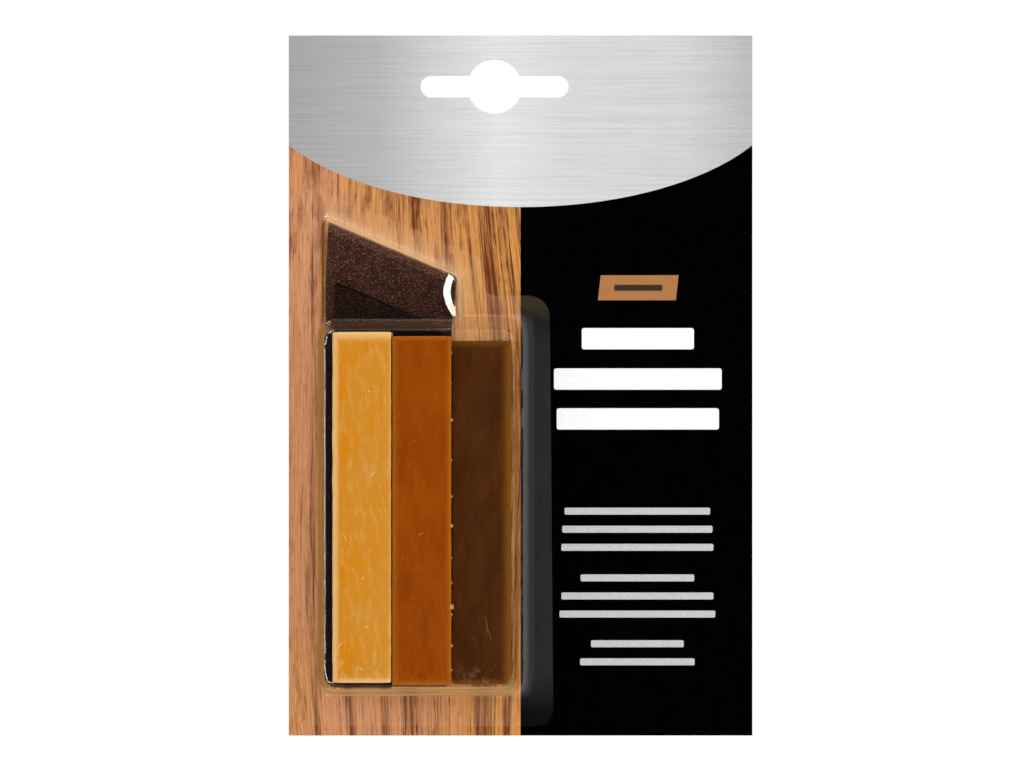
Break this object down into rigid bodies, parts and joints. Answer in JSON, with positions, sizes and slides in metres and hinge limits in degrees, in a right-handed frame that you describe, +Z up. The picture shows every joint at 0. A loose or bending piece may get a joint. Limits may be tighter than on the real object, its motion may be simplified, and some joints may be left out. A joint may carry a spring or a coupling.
{
  "type": "carded wax repair stick set",
  "caption": "Hang card with a clear formed blister that holds wax repair sticks in wood tones over a flat scraper; the blister opens like a book cover.",
  "frame": {"origin": "centre of the hang slot's round hole, on the card's back face", "axes": "+Z up along the card's height, +X to the right as the printed front is seen, +Y out of the card's back; the printed front and the blister face -Y"},
  "size_m": [0.1, 0.0154, 0.151],
  "materials": {
    "grey_board": "matte",
    "silver_print": "satin",
    "oak_print": "satin",
    "black_print": "satin",
    "copper_print": "satin",
    "white_facing": "matte",
    "seal_lacquer": "gloss",
    "clear_sheet": "clear gloss",
    "light_wax": "waxy",
    "medium_wax": "waxy",
    "dark_wax": "waxy",
    "brown_plastic": "sparkling satin"
  },
  "bodies": {
    "card": {"card_board": "grey_board", "header_print": "silver_print", "wood_print": "oak_print", "black_print": "black_print", "tag_print": "copper_print", "back_facing": "white_facing", "seal_band": "seal_lacquer"},
    "blister": {"blister_shell": "clear_sheet"},
    "light_stick": {"light_stick": "light_wax"},
    "medium_stick": {"medium_stick": "medium_wax"},
    "dark_stick": {"dark_stick": "dark_wax"},
    "scraper": {"scraper": "brown_plastic"}
  },
  "joints": [
    {"name": "blister_hinge", "type": "hinge", "parent": "card", "child": "blister", "pos_m": [-0.0439, -0.001, -0.08], "axis": [0, 0, -1], "range_deg": [0, 170]},
    {"name": "light_stick_slide", "type": "slide", "parent": "card", "child": "light_stick", "axis": [0, -1, 0], "range_m": [0, 0.0238]},
    {"name": "medium_stick_slide", "type": "slide", "parent": "card", "child": "medium_stick", "axis": [0, -1, 0], "range_m": [0, 0.0238]},
    {"name": "dark_stick_slide", "type": "slide", "parent": "card", "child": "dark_stick", "axis": [0, -1, 0], "range_m": [0, 0.0238]},
    {"name": "scraper_slide", "type": "slide", "parent": "card", "child": "scraper", "axis": [0, -1, 0], "range_m": [0, 0.012]}
  ],
  "couplings": [
    {"joint": "light_stick_slide", "follows": "blister_hinge", "m_per_rad": 0.008},
    {"joint": "medium_stick_slide", "follows": "blister_hinge", "m_per_rad": 0.008},
    {"joint": "dark_stick_slide", "follows": "blister_hinge", "m_per_rad": 0.008},
    {"joint": "scraper_slide", "follows": "blister_hinge", "m_per_rad": 0.004}
  ]
}
